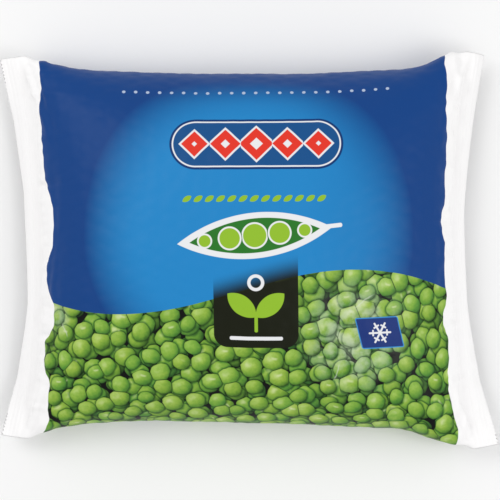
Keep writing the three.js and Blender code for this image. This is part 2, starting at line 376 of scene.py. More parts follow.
class Film:
    """A tube of film on a grid: rows run round it and columns along it, the first half of them in front."""

    def __init__(self, cells_along, cells_around, seal_cells):
        self.cells_along = cells_along
        self.cells_around = cells_around
        self.cells_across = cells_around // 2
        self.seal_cells = seal_cells
        self.rows = cells_along + 1
        self.step_around = GIRTH / cells_around
        self.along = self.row_places()
        self.across = self.column_places()
        row = np.arange(self.rows)
        self.is_seal = (row <= seal_cells) | (row >= cells_along - seal_cells)
        self.kept = np.where(row <= seal_cells, LEFT_GATHER, 1.0)
        self.points = np.zeros((3, self.rows * cells_around))
        self.speed = np.zeros_like(self.points)

    def row_places(self):
        """The distance along the film of each row, from the middle."""
        row = np.arange(self.rows)
        from_end = np.minimum(row, self.cells_along - row)
        seal_step = SEAL_WIDTH / self.seal_cells
        body_step = 2 * BODY_END / (self.cells_along - 2 * self.seal_cells)
        in_seal = np.minimum(from_end, self.seal_cells) * seal_step
        in_body = np.maximum(from_end - self.seal_cells, 0) * body_step
        return np.where(row == from_end, -1, 1) * (CUT_LENGTH / 2 - in_seal - in_body)

    def column_places(self):
        """The distance across the film of each column."""
        column = np.arange(self.cells_around)
        from_fold = np.minimum(column, self.cells_around - column)
        return from_fold * self.step_around - LAY_FLAT / 2

    def slots(self, rows, columns):
        """The number of each point in a block of rows and columns, which wrap round."""
        rows = np.asarray(rows).reshape(-1, 1)
        columns = np.asarray(columns).reshape(1, -1)
        return rows * self.cells_around + columns % self.cells_around

    def grid(self):
        """The points by axis, row and column."""
        return self.points.reshape(3, self.rows, self.cells_around)

    def lay_flat(self):
        """Lays the tube flat with a slight swelling, so that front and back part the right way."""
        u = (self.along / BODY_END).reshape(-1, 1)
        w = (self.across / (LAY_FLAT / 2)).reshape(1, -1)
        lift = START_LIFT * np.sqrt(np.maximum(0, 1 - u * u) * (1 - w * w))
        front = np.arange(self.cells_around) <= self.cells_across
        grid = self.grid()
        grid[0] = self.along.reshape(-1, 1)
        grid[1] = self.across
        grid[2] = START_HEIGHT + np.where(front, lift, -lift)

    def tie_families(self, squeeze, bend):
        """Every family of ties between points: the points, their distance on the film, pull and push."""
        every_column = np.arange(self.cells_around)
        every_row = np.arange(self.rows)
        steps = np.diff(self.along)
        families = []

        def add(rows, columns, step, distance, pull, push):
            """Ties each point in some rows and columns to the one a step of rows and columns away."""
            a = self.slots(rows, columns)
            b = self.slots(rows + step[0], columns + step[1])
            by_row = [np.broadcast_to(np.reshape(v, (-1, 1)), a.shape).ravel() for v in (distance, push)]
            families.append((a.ravel(), b.ravel(), by_row[0], pull, by_row[1]))

        for first in (0, 1):
            rows = np.arange(first, self.cells_along, 2)
            add(rows, every_column, (1, 0), steps[rows], STRETCH, squeeze)
            columns = np.arange(first, self.cells_around, 2)
            push = np.where(self.is_seal, SEAL_SQUEEZE, squeeze)
            add(every_row, columns, (0, 1), self.step_around * self.kept, STRETCH, push)
        for first in (0, 1):
            rows = np.arange(first, self.cells_along, 2)
            distance = np.sqrt(steps[rows] ** 2 + self.step_around**2)
            add(rows, every_column, (1, 1), distance, SHEAR_PULL, SHEAR_PUSH)
            add(rows + 1, every_column, (-1, 1), distance, SHEAR_PULL, SHEAR_PUSH)
        for first in range(4):
            rows = np.arange(first, self.cells_along - 1, 4)
            near_seal = (rows <= self.seal_cells) | (rows + 2 >= self.cells_along - self.seal_cells)
            push = np.where(near_seal, SEAL_BEND_ALONG, bend)
            add(rows, every_column, (2, 0), self.along[rows + 2] - self.along[rows], 0, push)
            columns = np.arange(first, self.cells_around, 4)
            columns = columns[(columns + 1) % self.cells_across != 0]
            push = np.where(self.is_seal, SEAL_BEND_ACROSS, bend)
            add(every_row, columns, (0, 2), 2 * self.step_around * self.kept, 0, push)
        return families

    def tie(self, a, b, distance, pull, push):
        """Brings pairs of points towards their distance on the flat film."""
        gap = self.points[:, b] - self.points[:, a]
        length = np.sqrt(gap[0] * gap[0] + gap[1] * gap[1] + gap[2] * gap[2])
        k = 0.5 * np.where(length > distance, pull, push) * (length - distance) / length
        self.points[:, a] += k * gap
        self.points[:, b] -= k * gap

    def measure(self):
        """The volume inside, and each point's share of the area around it as a vector."""
        grid = self.grid()
        ahead = np.roll(grid, -1, axis=2)
        a, b, c, d = grid[:, :-1], grid[:, 1:], ahead[:, 1:], ahead[:, :-1]
        quarter = np.cross(c - a, d - b, axis=0) / 8
        volume = np.sum((a + b + c + d) * quarter) / 3
        outward = np.zeros_like(grid)
        both = quarter + np.roll(quarter, 1, axis=2)
        outward[:, :-1] += both
        outward[:, 1:] += both
        return volume, outward.reshape(3, -1)

    def keep_faces(self):
        """Welds front to back in the seals, and elsewhere keeps the front above the back."""
        columns = np.arange(1, self.cells_across)
        welded, free = np.flatnonzero(self.is_seal), np.flatnonzero(~self.is_seal)
        a, b = self.slots(welded, columns), self.slots(welded, self.cells_around - columns)
        self.points[:, a] = self.points[:, b] = (self.points[:, a] + self.points[:, b]) / 2
        a, b = self.slots(free, columns), self.slots(free, self.cells_around - columns)
        short = np.maximum(0, SEAL_THICKNESS - (self.points[2, a] - self.points[2, b])) / 2
        self.points[2, a] += short
        self.points[2, b] -= short

    def lead_ends(self, share):
        """Leads the outer edge of each end to the place it lies in."""
        low = np.maximum(0, 1 - np.abs(self.across) / (LAY_FLAT / 2) / LOW_SPAN)
        for row, edge in ((0, LEFT_EDGE), (self.cells_along, RIGHT_EDGE)):
            places, xs = np.array(edge[::-1]).T
            goal = share * np.interp(self.across, places, xs) + (1 - share) * self.along[row]
            p = self.slots(row, np.arange(self.cells_around))[0]
            self.points[0, p] += EDGE_HOLD * (goal - self.points[0, p])
            self.points[2, p] += HEIGHT_HOLD * low * (SEAL_HEIGHT - self.points[2, p])

    def fill(self, passes, full, squeeze, bend, firm_at, start_pressure=0.0):
        """Moves the film under its pressure until it holds its full volume.

        firm_at gives, for a pass, how far the bag is filled and how firm the film is; squeeze runs from its
        first value to its second as the film gets firm.
        """
        pressure = start_pressure
        families = self.tie_families(squeeze[0], bend)
        firm_families = self.tie_families(squeeze[1], bend)
        for number in range(passes):
            filled, firm = firm_at(number)
            volume, outward = self.measure()
            lacking = FIRST_VOLUME + (full - FIRST_VOLUME) * filled - volume
            pressure = max(0.0, pressure + PRESSURE_GAIN * lacking)
            quick = pressure + PRESSURE_QUICK * PRESSURE_GAIN * lacking
            before = self.points.copy()
            push = quick + PRESSURE_DEPTH * pressure * (self.points[2].max() - self.points[2])
            kept = SPEED_KEPT if firm > 0 else SPEED_KEPT_FILLING
            self.points += kept * self.speed + push * outward
            self.points[2] -= WEIGHT
            for soft, hard in zip(families, firm_families):
                a, b, distance, pull, push_soft = soft
                self.tie(a, b, distance, pull, push_soft + (hard[4] - push_soft) * firm)
            self.keep_faces()
            self.lead_ends(filled)
            under = self.points[2] < 0
            self.points[2, under] = 0
            was = before[:2, under]
            self.points[:2, under] = was + FRICTION * (self.points[:2, under] - was)
            self.speed = self.points - before
        return pressure


def first_filling(number):
    """How far the bag is filled and how firm its film is, at a pass on the coarse grid."""
    filled = min(1.0, number / (FILL_SHARE * FILL_PASSES))
    return filled, min(1.0, max(0.0, (number - FILL_PASSES) / FIRM_PASSES))


# The finer grid and the one that is shown

def along_grid(values, places, axis, wrap):
    """The grid's values at any places along an axis, given in cells, on smooth curves through them."""
    values = np.moveaxis(values, axis, 0)
    count = len(values)
    cell = np.floor(places).astype(int)
    if wrap:
        p, q, r, s = (values[(cell + k - 1) % count] for k in range(4))
    else:
        cell = np.minimum(cell, count - 2)
        values = np.concatenate([2 * values[:1] - values[1:2], values, 2 * values[-1:] - values[-2:-1]])
        p, q, r, s = (values[cell + k] for k in range(4))
    t = (places - cell).reshape((-1,) + (1,) * (values.ndim - 1))
    curve = 2 * q + (r - p) * t + (2 * p - 5 * q + 4 * r - s) * t**2 + (3 * q - p - 3 * r + s) * t**3
    return np.moveaxis(curve / 2, 0, axis)


def resample(film, row_places, column_places):
    """The film's points at any rows and columns, given in cells of its grid."""
    return along_grid(along_grid(film.grid(), row_places, 1, False), column_places, 2, True)


def filled_film():
    """The bag's film, filled on the coarse grid and then on the finer one."""
    coarse = Film(*COARSE_CELLS)
    coarse.lay_flat()
    passes = FILL_PASSES + FIRM_PASSES + LAST_PASSES
    pressure = coarse.fill(passes, FILLED_VOLUME, (SQUEEZE_SOFT, SQUEEZE_FIRM), FILM_BEND, first_filling)
    fine = Film(*FINE_CELLS)
    row_places = np.arange(fine.rows) / 2
    column_places = np.arange(fine.cells_around) / 2
    fine.points = resample(coarse, row_places, column_places).reshape(3, -1)
    squeeze = (FINE_SQUEEZE, FINE_SQUEEZE)
    fine.fill(FINE_PASSES, FINE_VOLUME, squeeze, FINE_BEND, lambda number: (1.0, 1.0), pressure)
    calm_folds(fine)
    trim_edges(fine.points)
    return fine


def calm_folds(film):
    """Draws the film straighter along its two long folds, which the filling keeps taut."""
    grid = film.grid()
    on_fold = clamp((np.abs(film.across) - CALM_FROM) / CALM_SPAN).reshape(1, -1)
    in_body = clamp((CALM_LENGTH - np.abs(film.along)) / CALM_SPAN).reshape(-1, 1)
    share = (on_fold * in_body)[1:-1]
    for _ in range(CALM_PASSES):
        between = (grid[:, :-2] + grid[:, 2:]) / 2
        grid[:, 1:-1] += share * (between - grid[:, 1:-1])


def clamp(t):
    """A share, held between 0 and 1."""
    return np.clip(t, 0, 1)


def smooth(t):
    """A share from 0 to 1, made to start and end gently."""
    return t * t * (3 - 2 * t)


def eased(places, curve):
    """The values of a curve of [place, value] at any places, eased from each to the next."""
    knots, values = np.array(curve, dtype=float).T
    after = np.clip(np.searchsorted(knots, places), 1, len(knots) - 1)
    t = clamp((places - knots[after - 1]) / (knots[after] - knots[after - 1]))
    return values[after - 1] + (values[after] - values[after - 1]) * smooth(t)


def trim_edges(points):
    """Moves the long edges to where they lie, and what is between them by its share."""
    reach = points[1] / (LAY_FLAT / 2)
    out = np.where(reach > 0, eased(points[0], FAR_TRIM), eased(points[0], NEAR_TRIM))
    points[1] += out * reach


def shown_rows():
    """The distance along the film of each row that is shown: close together in the seals, for their ribs."""
    seal = np.linspace(0, SEAL_WIDTH, SHOWN_SEAL_CELLS + 1)[:-1] - CUT_LENGTH / 2
    body = np.linspace(-BODY_END, BODY_END, SHOWN_BODY_CELLS + 1)
    return np.concatenate([seal, body, -seal[::-1]])


def noise_field(along, around, wavelengths, seed):
    """A smooth uneven field from -1 to 1 that meets itself round the tube: a few waves at random angles."""
    random = np.random.default_rng(seed)
    turn = around * math.pi / LAY_FLAT
    radius = LAY_FLAT / math.pi
    total = np.zeros(np.broadcast(along, around).shape)
    for wavelength in wavelengths:
        angle, side, phase = random.uniform(0, 2 * math.pi, 3)
        way = math.cos(angle) * along + math.sin(angle) * radius * np.cos(turn - side)
        total = total + np.sin(2 * math.pi * way / wavelength + phase)
    return total / len(wavelengths)


def pea_lumps(along, around):
    """How far the peas inside press the film out, from 0 to 1."""
    random = np.random.default_rng(PEA_SEED)
    columns = round(GIRTH / PEA_PITCH)
    rows = round(CUT_LENGTH / PEA_PITCH)
    pitch = GIRTH / columns
    shift = random.uniform(-PEA_STRAY, PEA_STRAY, (2, rows + 1, columns))
    size = random.uniform(*PEA_SIZES, (rows + 1, columns))
    u = (along + CUT_LENGTH / 2) / pitch + 0 * around
    v = (around + LAY_FLAT / 2) / pitch + 0 * along
    lumps = np.zeros(u.shape)
    for down in (-1, 0, 1):
        for right in (-1, 0, 1):
            row = np.clip(np.floor(u).astype(int) + down, 0, rows)
            column = np.floor(v).astype(int) + right
            slot = column % columns
            middle_u = row + 0.5 + shift[0, row, slot]
            middle_v = column + 0.5 + shift[1, row, slot] + 0.5 * (row % 2)
            far = np.hypot(u - middle_u, v - middle_v) / (PEA_REACH * size[row, slot])
            lumps = np.maximum(lumps, size[row, slot] * np.maximum(0, 1 - far * far))
    return lumps


def bell(offset):
    """A ridge of height 1 across its middle."""
    return np.exp(-(offset**2))


def pleats(inward, around, rise, seed):
    """The creases that run from an end seal into the body, where the tube gathers to its flat seal."""
    random = np.random.default_rng(seed)
    groove, groove_width = PLEAT_GROOVE
    total = 0.0
    for number in range(PLEATS):
        middle = -LAY_FLAT / 2 + GIRTH * (number + random.uniform(*PLEAT_PLACES)) / PLEATS
        slant = random.uniform(-PLEAT_SLANT, PLEAT_SLANT)
        width = random.uniform(*PLEAT_WIDTHS)
        length = random.uniform(*PLEAT_LENGTHS)
        height = random.uniform(*PLEAT_HEIGHTS)
        offset = around - middle - slant * inward
        offset = (offset + LAY_FLAT) % GIRTH - LAY_FLAT
        ridge = bell(offset / width) - groove * bell(offset / width / groove_width)
        fall = clamp(1 - (inward - PLEAT_RISE) / length)
        total = total + height * ridge * rise * fall * fall
    return total


def end_relief(along, around, end, seed):
    """How far the film stands out beside one end: pleats, corner creases, its root and crumpled film."""
    inward = BODY_END - end * along
    rise = clamp(inward / PLEAT_RISE)
    from_fold = np.abs(around % LAY_FLAT - LAY_FLAT / 2)
    off_fold = clamp(from_fold / CORNER_HOLD)
    total = pleats(inward, around, rise, seed)
    offset = (from_fold - CORNER_START - CORNER_SLOPE * inward) / CORNER_WIDTH
    dip, dip_place = CORNER_DIP
    ridge = bell(offset) - dip * bell(offset + dip_place)
    fall = clamp(1 - inward / CORNER_REACH)
    total = total + CORNER_HEIGHT * ridge * clamp(inward / CORNER_RISE) * off_fold * fall
    root = bell((inward - ROOT_PLACE) / ROOT_WIDTH) * clamp(inward)
    total = total - ROOT_DEPTH * root * off_fold
    for side, middle, width, length, depth in DEEP_CREASES:
        if side == end:
            fall = clamp(1 - inward / length)
            total = total - depth * bell((around - middle) / width) * rise * fall
    folds = np.abs(noise_field(CRUMPLE_STRETCH * along, around, CRUMPLE_WAVES, seed))
    fall = clamp(1 - inward / CRUMPLE_REACH)
    return total + CRUMPLE_HEIGHT * (CRUMPLE_LEVEL - folds) * rise * fall * fall


def normals_of(grid):
    """The outward normal at each point of the grid."""
    down = np.gradient(grid, axis=1)
    ahead = (np.roll(grid, -1, axis=2) - np.roll(grid, 1, axis=2)) / 2
    normal = np.cross(down, ahead, axis=0)
    return normal / np.maximum(np.linalg.norm(normal, axis=0), 1e-9)


def relief(along, around):
    """How far the film stands out of its smooth form."""
    inward = BODY_END - np.abs(along)
    height = LUMP_HEIGHT * pea_lumps(along, around)
    height = height + DENT_DEPTH * noise_field(along, around, DENT_WAVES, DENT_SEED)
    height = height * smooth(clamp(inward / SEAL_CALM))
    for end, seed in PLEAT_SEEDS:
        height = height + end_relief(along, around, end, seed)
    return height


def shown_film(film):
    """The points that are shown, as a grid in millimetres, with their places on the film."""
    along = shown_rows()
    count = SHOWN_CELLS_AROUND
    column = np.arange(count)
    around = column * GIRTH / count - LAY_FLAT / 2
    row_places = np.interp(along, film.along, np.arange(film.rows))
    grid = resample(film, row_places, column * film.cells_around / count)
    height = relief(along.reshape(-1, 1), around.reshape(1, -1))
    grid = grid + height * normals_of(grid)
    off_seam = clamp((np.abs(around - LAY_FLAT) - SEAM_WIDTH / 2) / SEAM_STEP)
    grid[2] = np.maximum(grid[2], SEAM_THICKNESS * off_seam)
    columns = np.arange(1, count // 2)
    seal = np.abs(along) >= BODY_END - TINY
    middle = (grid[:, seal][:, :, columns] + grid[:, seal][:, :, count - columns]) / 2
    rib = np.cos(2 * math.pi * (CUT_LENGTH / 2 - np.abs(along[seal])) / RIB_PITCH)
    middle[2] += RIB_HEIGHT * rib.reshape(-1, 1)
    half = np.reshape([0, 0, FILM_SEAL_THICKNESS / 2], (3, 1, 1))
    rows = np.flatnonzero(seal).reshape(-1, 1)
    grid[:, rows, columns] = middle + half
    grid[:, rows, count - columns] = middle - half
    tooth = TOOTH_DEPTH * (column % 2)
    grid[0, 0] += tooth
    grid[0, -1] -= tooth
    return grid, along, around


def film_mesh(grid, along, around):
    """The bag as one closed mesh, with its places on the film kept as a map."""
    rows, columns = grid.shape[1:]
    half = columns // 2
    points = (grid.reshape(3, -1).T * MM).tolist()
    faces = []
    places = []

    def add(corners):
        faces.append([row * columns + column % columns for row, column in corners])
        for row, column in corners:
            places.append((along[row] * MM, (around[0] + column * (around[1] - around[0])) * MM))

    for row in range(rows - 1):
        for column in range(columns):
            add(((row, column), (row + 1, column), (row + 1, column + 1), (row, column + 1)))
    # The cut ends. Front and back meet at the folds, so the first and last face there has three corners.
    for row, end in ((0, 1), (rows - 1, -1)):
        for column in range(half):
            corners = [(row, column), (row, column + 1), (row, columns - column - 1), (row, columns - column)]
            if column == 0:
                corners = corners[:3]
            if column == half - 1:
                corners = [corners[0], corners[1], corners[3]]
            add(corners[::end])
    mesh = bpy.data.meshes.new("bag_film")
    mesh.from_pydata(points, [], faces)
    for name, scale, shift in ((FILM_MAP, (1, 1), (0, 0)), (BAKE_MAP, BAKE_SCALE, BAKE_SHIFT)):
        layer = mesh.uv_layers.new(name=name)
        layer.data.foreach_set("uv", (np.array(places) * scale + shift).ravel())
    cut_faces = 2 * half
    mesh.polygons.foreach_set("use_smooth", [True] * (len(faces) - cut_faces) + [False] * cut_faces)
    bag = bpy.data.objects.new("bag_film", mesh)
    bpy.context.collection.objects.link(bag)
    return bag


# Painting by nodes

def ink(red, green, blue):
    """The ink that looks like a colour, given as 0 to 255 on a screen, in the light of this studio.

    The screen's own curve is taken off first, and then what the gloss adds.
    """
    parts = []
    for part in (red, green, blue):
        share = part / 255
        light = share / 12.92 if share <= 0.04045 else ((share + 0.055) / 1.055) ** 2.4
        parts.append(max(light - GLOSS_SEEN, DARKEST_INK))
    return (*parts, 1.0)


def sum_of(operation, turned_round=False):
    """A method that makes the maths node of a value and another, or of the other and the value."""

    def method(self, other):
        values = (other, self) if turned_round else (self, other)
        return self.paint.math(operation, *values)

    return method


class Value:
    """A number that runs through a material's nodes, so that sums of nodes are written as sums."""

    def __init__(self, paint, socket):
        self.paint = paint
        self.socket = socket

    def __abs__(self):
        return self.paint.math("ABSOLUTE", self)

    __add__ = sum_of("ADD")
    __radd__ = sum_of("ADD", True)
    __sub__ = sum_of("SUBTRACT")
    __rsub__ = sum_of("SUBTRACT", True)
    __mul__ = sum_of("MULTIPLY")
    __rmul__ = sum_of("MULTIPLY", True)
    __truediv__ = sum_of("DIVIDE")


class Paint:
    """Adds nodes to one material."""

    def __init__(self, name):
        self.material = bpy.data.materials.new(name)
        self.material.use_nodes = True
        self.tree = self.material.node_tree
        self.shader = self.tree.nodes["Principled BSDF"]

    def feed(self, socket, value):
        if isinstance(value, Value):
            self.tree.links.new(value.socket, socket)
        else:
            socket.default_value = value

    def node(self, kind, inputs, **settings):
        """A new node, with what is fed to each of its inputs, by name or number."""
        made = self.tree.nodes.new(kind)
        for name, setting in settings.items():
            setattr(made, name, setting)
        for key, value in inputs.items():
            self.feed(made.inputs[key], value)
        return made

    def value(self, kind, output, inputs, **settings):
        """One output of a new node."""
        return Value(self, self.node(kind, inputs, **settings).outputs[output])

    def math(self, operation, *values):
        return self.value("ShaderNodeMath", 0, dict(enumerate(values)), operation=operation)

    def larger(self, a, b):
        return self.math("MAXIMUM", a, b)

    def smaller(self, a, b):
        return self.math("MINIMUM", a, b)

    def root(self, a):
        return self.math("SQRT", a)

    def length(self, x, y):
        return self.root(x * x + y * y)

    def ramp(self, value, low, high, least=0.0):
        """The least where the value is at low, 1 where it is at high, and smooth between."""
        inputs = {"Value": value, "From Min": low, "From Max": high, "To Min": least}
        return self.value("ShaderNodeMapRange", "Result", inputs, interpolation_type="SMOOTHSTEP")

    def vector(self, x, y):
        return self.value("ShaderNodeCombineXYZ", 0, {0: x, 1: y})

    def parts(self, vector):
        return [Value(self, socket) for socket in self.node("ShaderNodeSeparateXYZ", {0: vector}).outputs]

    def mix(self, share, under, over):
        """The colour under, with the colour over it by a share. The node's colours are inputs 6 and 7."""
        return self.value("ShaderNodeMix", 2, {0: share, 6: under, 7: over}, data_type="RGBA")

    def noise(self, place, size, detail=1.0):
        """Uneven values around 0.5, with features of a size in the units of place."""
        return self.value("ShaderNodeTexNoise", "Fac", {"Vector": place, "Scale": 1 / size, "Detail": detail})

    def sway(self, place, size, detail=1.0):
        """Uneven values around 0."""
        return self.noise(place, size, detail) - 0.5

    def colours(self, value, stops):
        """A colour for each value, along a list of stops."""
        made = self.node("ShaderNodeValToRGB", {0: value})
        elements = made.color_ramp.elements
        while len(elements) < len(stops):
            elements.new(0.5)
        for element, (position, colour) in zip(elements, stops):
            element.position = position
            element.color = ink(*colour)
        return Value(self, made.outputs["Color"])

    # Shapes: each gives how far a place is outside the shape, in the units of x and y.

    def box(self, x, y, middle, size, radius):
        across = abs(x - middle[0]) - (size[0] / 2 - radius)
        up = abs(y - middle[1]) - (size[1] / 2 - radius)
        outside = self.length(self.larger(across, 0.0), self.larger(up, 0.0))
        return outside + self.smaller(self.larger(across, up), 0.0) - radius

    def disc(self, x, y, middle, radius):
        return self.length(x - middle[0], y - middle[1]) - radius

    def lens(self, x, y, middle, size):
        """A pointed oval, where two equal discs overlap."""
        half_length, half_height = size[0] / 2, size[1] / 2
        drop = (half_length**2 - half_height**2) / (2 * half_height)
        up = abs(y - middle[1]) + drop
        return self.length(x - middle[0], up) - (drop + half_height)

    def inside(self, distance):
        """1 inside a shape, 0 outside it."""
        return self.ramp(distance, PRINT_SOFT, -PRINT_SOFT)


def turned(x, y, middle, degrees):
    """Places as seen from a middle and turned about it."""
    c, s = math.cos(math.radians(degrees)), math.sin(math.radians(degrees))
    dx, dy = x - middle[0], y - middle[1]
    return dx * c + dy * s, dy * c - dx * s


def pea_layer(paint, x, y, lit, pitch, shift, degrees):
    """One layer of printed peas, lit by a share.

    Gives its colour, where it covers what is below, and the share of light that it leaves there.
    """
    x, y = turned(x, y, ORIGIN, degrees)
    light_x, light_y = turned(*PRINT_LIGHT[:2], ORIGIN, degrees)
    shine_x, shine_y = turned(*PRINT_SHINE[:2], ORIGIN, degrees)
    place = paint.vector((x + shift[0]) / pitch, (y + shift[1]) / pitch)
    inputs = {"Vector": place, "Scale": 1.0, "Randomness": PRINT_PEA_STRAY}
    cells = paint.node("ShaderNodeTexVoronoi", inputs, voronoi_dimensions="2D", feature="F1")
    edges = paint.node("ShaderNodeTexVoronoi", inputs, voronoi_dimensions="2D", feature="DISTANCE_TO_EDGE")
    px, py, _ = paint.parts(place)
    mx, my, _ = paint.parts(Value(paint, cells.outputs["Position"]))
    turn, flat, size = paint.parts(Value(paint, cells.outputs["Color"]))
    gap = Value(paint, edges.outputs["Distance"]) * pitch
    radius = PRINT_PEA_RADIUS * (PEA_GROWTH[0] + PEA_GROWTH[1] * size)
    dx = (px - mx) * pitch / radius
    dy = (py - my) * pitch / radius
    angle = turn * (2 * math.pi)
    c, s = paint.math("COSINE", angle), paint.math("SINE", angle)
    u = dx * c + dy * s
    w = (dy * c - dx * s) / (PEA_ROUNDNESS[0] + PEA_ROUNDNESS[1] * flat)
    dents = paint.sway(place, PEA_DENT_SIZE)
    mottles = paint.sway(place, PEA_MOTTLE_SIZE, 2.0)
    far = paint.length(u, w) * (1.0 + PEA_DENTS * dents)
    height = paint.root(paint.larger(1.0 - far * far, 0.0))

    by_dents, by_mottles, by_size = LIGHT_SHARES
    light = (height * PRINT_LIGHT[2] + dx * light_x + dy * light_y) * 0.5 + 0.5
    light = (light + by_dents * dents + by_mottles * mottles + by_size * (size - 0.5)) * lit
    by_draw, by_dents, by_light = YELLOW_SHARES
    yellow = flat * by_draw + by_dents * dents + paint.ramp(light, *YELLOW_LIGHT) * by_light
    colour = paint.mix(yellow, paint.colours(light, PEA_STOPS), paint.colours(light, PEA_YELLOW_STOPS))
    spot = height * PRINT_SHINE[2] + dx * shine_x + dy * shine_y
    shine = paint.ramp(spot, *SHINE_SPOT) * paint.ramp(size, *SHINE_SIZE) * paint.ramp(dents, *SHINE_DENTS)
    colour = paint.mix(shine * lit * SHINE_SHARE, colour, ink(*PEA_SHINE))
    streak = paint.ramp(abs(w - STREAK_PLACE - STREAK_BEND * u * u), *STREAK_WIDTH)
    streak = streak * paint.ramp(abs(u), *STREAK_LENGTH) * paint.ramp(turn, *STREAK_PEAS)
    colour = paint.mix(streak * lit * STREAK_SHARE, colour, ink(*PEA_SHINE))
    open_edge = paint.ramp(far, *RIM_SHADE) * paint.ramp(gap, *GAP_SHADE)
    colour = paint.mix(open_edge, ink(*PEA_SHADE), colour)
    cover = paint.ramp(far, *PEA_COVER) * paint.ramp(gap, *GAP_COVER)
    return colour, cover, paint.ramp(far, *SHADE_BELOW)


def printed_peas(paint, x, y):
    """The printed heap of peas: layers over each other, darker the deeper they lie."""
    layers = []
    open_share = 1.0
    for layer, depth in zip(PEA_LAYERS, PEA_DEPTHS):
        colour, cover, below = pea_layer(paint, x, y, open_share * depth, *layer)
        layers.append((colour, cover))
        open_share = below * open_share
    heap = ink(*PEA_GAP)
    for colour, cover in reversed(layers):
        heap = paint.mix(cover, heap, colour)
    return heap


def painted_glare(paint, x, y, colour):
    """Painted glare on the film: a pale sheen in patches, and painted highlights where creases catch the
    light.
    """
    place = paint.vector(x, y)
    grey = paint.value("ShaderNodeRGBToBW", 0, {0: colour})
    grain = paint.ramp(paint.noise(place, GLARE_GRAIN, 8.0), *GLARE_STEPS)
    grain = grain * paint.ramp(grey, *GLARE_ON_PRINT)
    # Painted sheen, in patches.
    for middle, reach, strength in GLARE_PATCHES:
        far = paint.length((x - middle[0]) / reach[0], (y - middle[1]) / reach[1])
        colour = paint.mix(paint.ramp(far, *GLARE_EDGE) * grain * strength, colour, ink(*GLARE_WHITE))
    sway = CREASE_SWAY * paint.sway(place, SWAY_SIZE)
    # Painted highlights along the creases.
    for middle, length, degrees in CREASES:
        u, w = turned(x, y, middle, degrees)
        line = paint.box(u, w + sway, ORIGIN, (length, CREASE_WIDTH), CREASE_WIDTH / 2 - TINY)
        fade = paint.ramp(abs(u), length / 2, length / 5)
        colour = paint.mix(paint.ramp(line, CREASE_SOFT, 0.0) * fade * CREASE_GLINT_SHARE, colour, ink(*GLARE_WHITE))
    return colour


def on_field(paint, colour, shapes, off_front):
    """Lays shapes over a colour, in order, on the front alone."""
    for distance, over in shapes:
        colour = paint.mix(paint.inside(distance + off_front), colour, ink(*over))
    return colour


def in_row(paint, across, pitch, count):
    """How far across from the nearest of count places in a row, and which that is from the middle one."""
    last = float(count // 2)
    nearest = paint.larger(paint.smaller(paint.math("ROUND", across / pitch), last), -last)
    return across - nearest * pitch, nearest


def dotted_rule(paint, x, y):
    """The pale row of dots near the top of the print."""
    beside, _ = in_row(paint, x - RULE_MIDDLE[0], RULE_PITCH, RULE_DOTS)
    return [(paint.length(beside, y - RULE_MIDDLE[1]) - RULE_DOT, PALE_INK)]


def badge(paint, x, y):
    """The navy badge with a white line round it and a row of red diamonds."""
    width, height = BADGE_SIZE
    shapes = []
    for inset, over in BADGE_RINGS:
        size = (width - 2 * inset, height - 2 * inset)
        shapes.append((paint.box(x, y, BADGE_MIDDLE, size, size[1] / 2 - TINY), over))
    beside, nearest = in_row(paint, x - BADGE_MIDDLE[0], DIAMOND_PITCH, DIAMONDS)
    size = DIAMOND_SIZE - abs(nearest)
    diamond = (abs(beside) + abs(y - BADGE_MIDDLE[1]) - size) * DIAMOND_SLOPE
    return shapes + [(diamond + inset, over) for inset, over in DIAMOND_RINGS]


def garland(paint, x, y):
    """The lime row of leaves between the badge and the pod."""
    beside, _ = in_row(paint, x - GARLAND_MIDDLE[0], GARLAND_PITCH, GARLAND_LEAVES)
    u, w = turned(beside, y, (0, GARLAND_MIDDLE[1]), GARLAND_TURN)
    return [(paint.lens(u, w, ORIGIN, GARLAND_LEAF), LIME)]


def pod(paint, x, y):
    """The white pod with green peas in it."""
    u, w = turned(x, y, POD_MIDDLE, POD_TURN)
    outer = paint.lens(u, w, ORIGIN, POD_SIZE)
    inner = paint.lens(u, w, ORIGIN, POD_OPENING)
    stalk = paint.box(u, w, *STALK)
    beside, nearest = in_row(paint, u, POD_PEA_PITCH, POD_PEAS)
    peas = paint.length(beside, w) - (POD_PEA_RADIUS - nearest * nearest * POD_PEA_FALL)
    shell = [(outer, WHITE_INK), (stalk, WHITE_INK), (inner, POD_GREEN)]
    return shell + [(peas, WHITE_INK), (peas + POD_PEA_RIM, LIME)]


def sprout(paint, x, y):
    """The dark tab's lime sprout of two leaves, with a white ring above and a white bar below."""
    middle, height = LEAVES_MIDDLE
    shapes = []
    for side in (-1, 1):
        u, w = turned(x, y, (middle + side * LEAVES_APART, height), side * LEAF_TURN)
        shapes.append((paint.lens(u, w, ORIGIN, LEAF_SIZE), LIME))
    ring = abs(paint.disc(x, y, *RING)) - RING_HALF_WIDTH
    stem = paint.box(x, y, *STEM)
    return shapes + [(stem, LIME), (ring, WHITE_INK), (paint.box(x, y, *BAR), WHITE_INK)]


def frost_star(paint, u, w):
    """A six-armed star with a short bar across each arm."""
    pieces = []
    for degrees in STAR_TURNS:
        a, b = turned(u, w, ORIGIN, degrees)
        pieces += [paint.box(a, b, *STAR_ARM), paint.box(abs(a), b, *STAR_BAR)]
    star = pieces[0]
    for piece in pieces[1:]:
        star = paint.smaller(star, piece)
    return star


def tag(paint, x, y):
    """The small tilted tag with a light rim and a frost star."""
    u, w = turned(x, y, TAG_MIDDLE, TAG_TURN)
    rim = paint.box(u + w * TAG_LEAN, w, *TAG)
    return [(rim, TAG_RIM), (rim + TAG_EDGE, TAG_BLUE), (frost_star(paint, u, w), WHITE_INK)]


